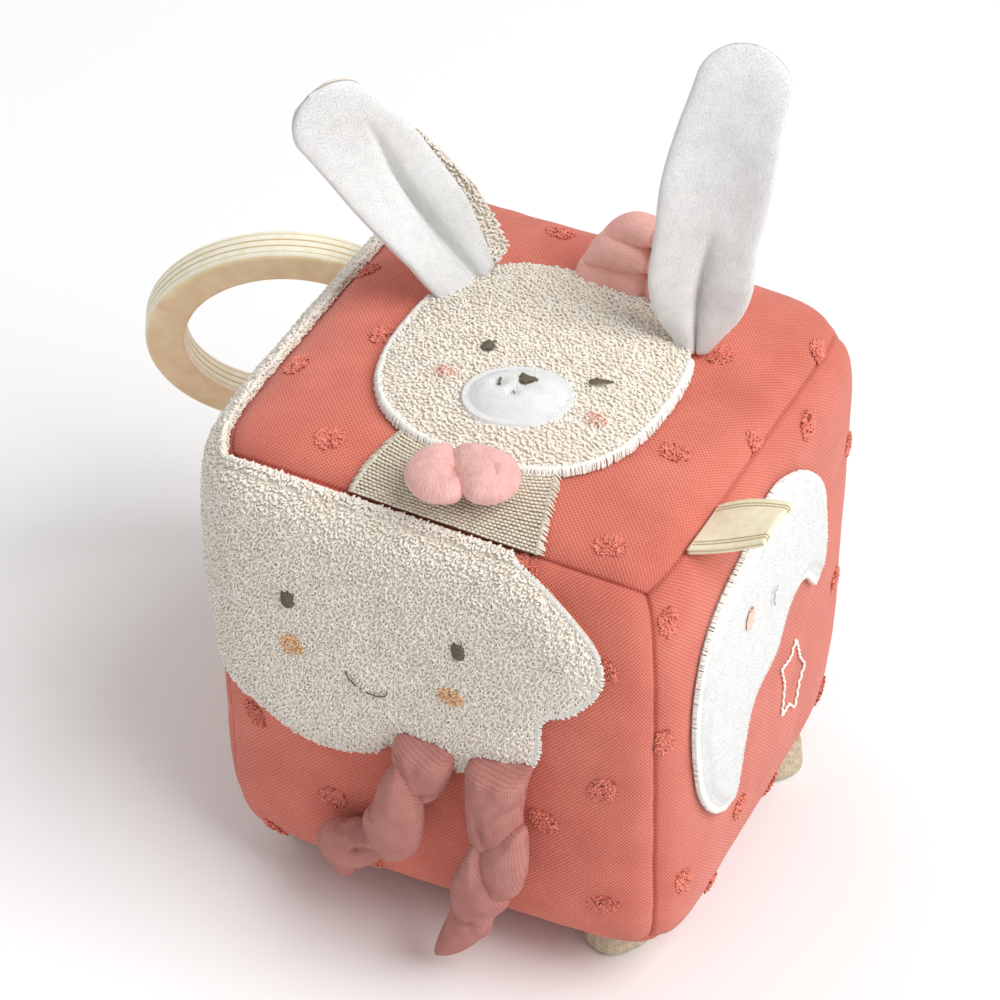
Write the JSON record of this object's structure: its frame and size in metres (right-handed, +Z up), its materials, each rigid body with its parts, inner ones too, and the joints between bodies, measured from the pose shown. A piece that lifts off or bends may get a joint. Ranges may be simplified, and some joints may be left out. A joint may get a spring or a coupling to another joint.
{
  "type": "soft fabric activity block",
  "caption": "Stuffed fabric cube for a baby with a rabbit head and upright ears on top, a cloud with knotted legs, a moon, a ribbon tag and a wooden ring on a strap.",
  "frame": {"origin": "under the middle of the whole block's box, on the surface that it stands on", "axes": "+Z up, -Y towards the face with the cloud, +X towards the face with the moon"},
  "size_m": [0.192, 0.1444, 0.1981],
  "materials": {
    "coral_knit": "matt cotton knit with tufted dots",
    "cream_terry": "looped terry",
    "white_plush": "short velour pile",
    "linen": "coarse basket weave",
    "rose_gauze": "crinkled double gauze",
    "cream_ribbon": "woven ribbon with a plain border stripe",
    "cotton_tape": "herringbone tape",
    "plywood": "sanded plywood, unpainted",
    "fibre_filling": "loose fibre",
    "rattle_plastic": "moulded"
  },
  "bodies": {
    "block": {"panel_top": "coral_knit", "panel_front": "coral_knit", "panel_right": "coral_knit", "panel_left": "coral_knit", "panel_back": "coral_knit", "panel_bottom": "coral_knit", "filling_lower": "fibre_filling", "filling_upper": "fibre_filling", "rattle_cup": "rattle_plastic", "rattle_lid": "rattle_plastic", "rattle_bead_1": "rattle_plastic", "rattle_bead_2": "rattle_plastic", "rattle_bead_3": "rattle_plastic", "head_applique": "cream_terry", "muzzle": "white_plush", "collar": "linen", "chest_bow": "rose_gauze", "ear_bow": "rose_gauze", "cloud": "cream_terry", "moon": "white_plush", "foot_front_left": "linen", "foot_front_right": "linen", "foot_back_left": "linen", "foot_back_right": "linen"},
    "ear_left": {"ear_left_front": "white_plush", "ear_left_back": "cream_terry"},
    "ear_right": {"ear_right_front": "white_plush", "ear_right_back": "cream_terry"},
    "leg_left": {"leg_left": "rose_gauze"},
    "leg_right": {"leg_right": "rose_gauze"},
    "tag": {"tag": "cream_ribbon"},
    "ring_strap": {"ring_tab": "cotton_tape"},
    "ring_loop": {"ring_loop": "cotton_tape"},
    "ring": {"ring": "plywood"}
  },
  "joints": [
    {"name": "ear_left_bend", "type": "hinge", "parent": "block", "child": "ear_left", "pos_m": [0.00535, 0.01897, 0.13233], "axis": [0.4983, 0.867, 0], "range_deg": [-35, 60], "stiffness_Nm_per_rad": 0.03},
    {"name": "ear_right_bend", "type": "hinge", "parent": "block", "child": "ear_right", "pos_m": [0.0594, 0.01756, 0.13065], "axis": [0.9326, 0.361, 0], "range_deg": [-20, 40], "stiffness_Nm_per_rad": 0.03},
    {"name": "leg_left_swing", "type": "hinge", "parent": "block", "child": "leg_left", "pos_m": [0.03379, -0.06129, 0.05915], "axis": [-1, 0, 0], "range_deg": [0, 80]},
    {"name": "leg_right_swing", "type": "hinge", "parent": "block", "child": "leg_right", "pos_m": [0.05105, -0.06112, 0.0605], "axis": [-1, 0, 0], "range_deg": [0, 80]},
    {"name": "tag_flex", "type": "hinge", "parent": "block", "child": "tag", "pos_m": [0.08099, -0.0299, 0.11926], "axis": [0, 1, 0], "range_deg": [-50, 60], "stiffness_Nm_per_rad": 0.002},
    {"name": "ring_strap_swing", "type": "hinge", "parent": "block", "child": "ring_strap", "pos_m": [-0.02576, 0.05594, 0.07711], "axis": [0, 0, 1], "range_deg": [-15, 18]},
    {"name": "ring_droop", "type": "hinge", "parent": "ring_strap", "child": "ring_loop", "pos_m": [-0.02731, 0.05939, 0.07345], "axis": [0.4371, -0.8397, -0.3223], "range_deg": [-5, 90]},
    {"name": "ring_slide", "type": "hinge", "parent": "ring_loop", "child": "ring", "pos_m": [-0.06328, 0.04846, 0.0758], "axis": [0.4371, -0.8397, -0.3223], "continuous": true}
  ]
}
